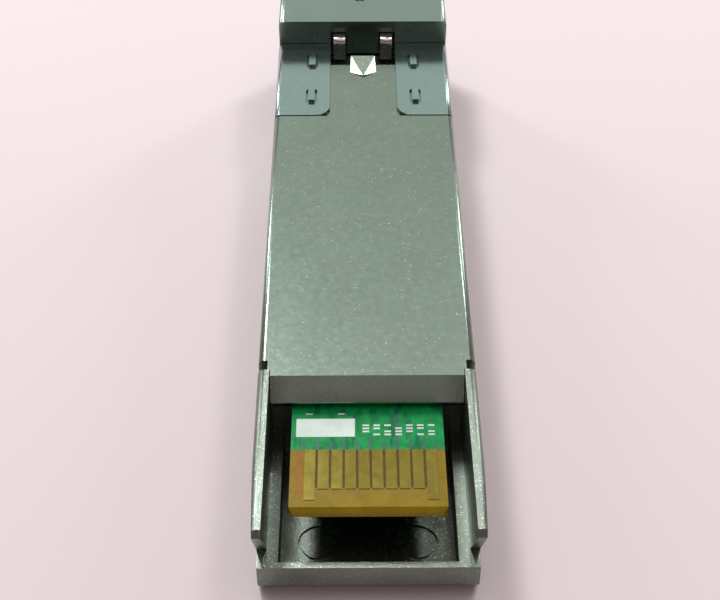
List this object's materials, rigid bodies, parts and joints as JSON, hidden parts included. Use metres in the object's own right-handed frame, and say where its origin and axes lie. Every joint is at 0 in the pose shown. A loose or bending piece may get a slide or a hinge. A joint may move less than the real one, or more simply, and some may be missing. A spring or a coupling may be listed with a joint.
{
  "type": "optical transceiver module",
  "caption": "Pluggable optical transceiver: die-cast shell and cover, edge-contact board, two fibre ports, sprung-metal collar, latch slider and wire bail.",
  "frame": {"origin": "middle of the bounding box's base, on the flat label side that the module lies on", "axes": "+Z out of the latch side, +Y from the edge contacts to the fibre ports, +X to the right seen from the edge contacts"},
  "size_m": [0.0136, 0.0564, 0.0104],
  "materials": {
    "cast_housing": "rough nickel-plated die casting",
    "cast_cover": "satin nickel plate with fine sparkle",
    "plated_nose": "smooth satin nickel plate",
    "collar_sheet": "smooth plated sheet",
    "port_plastic": "moulded",
    "board": "green solder mask, bare laminate at the edge",
    "gold_contacts": "hard gold plate",
    "chip_black": "moulded epoxy",
    "chip_ceramic": "fired ceramic with tinned ends",
    "soft_pad": "soft silicone",
    "gold_can": "gold plate",
    "turned_steel": "turned",
    "white_ceramic": "polished zirconia",
    "flex_film": "polyimide film",
    "label_film": "blank label stock",
    "latch_steel": "bright steel",
    "grip_plastic": "moulded"
  },
  "bodies": {
    "module": {"top_housing": "cast_housing", "bottom_cover": "cast_cover", "nose_guard": "plated_nose", "emi_collar": "collar_sheet", "lc_receptacle": "port_plastic", "circuit_board": "board", "contacts_latch_side": "gold_contacts", "contacts_label_side": "gold_contacts", "controller_chip": "chip_black", "laser_driver_chip": "chip_black", "receiver_amplifier_chip": "chip_black", "memory_chip": "chip_black", "chip_capacitors": "chip_ceramic", "chip_resistors": "chip_black", "power_inductors": "chip_black", "thermal_pad": "soft_pad", "transmitter_can": "gold_can", "transmitter_barrel": "turned_steel", "transmitter_sleeve": "white_ceramic", "transmitter_flex": "flex_film", "receiver_can": "gold_can", "receiver_barrel": "turned_steel", "receiver_sleeve": "white_ceramic", "receiver_flex": "flex_film", "optics_clamp": "port_plastic", "cover_screws": "turned_steel", "blank_label": "label_film"},
    "slider": {"latch_slider": "latch_steel"},
    "bail": {"bail_wire": "latch_steel", "bail_grip": "grip_plastic"}
  },
  "joints": [
    {"name": "bail_hinge", "type": "hinge", "parent": "module", "child": "bail", "pos_m": [0, 0.02635, 0.0083], "axis": [1, 0, 0], "range_deg": [0, 90]},
    {"name": "slider_travel", "type": "slide", "parent": "module", "child": "slider", "axis": [0, -1, 0], "range_m": [0, 0.0012]}
  ],
  "couplings": [
    {"joint": "bail_hinge", "follows": "slider_travel", "rad_per_m": 1309}
  ]
}
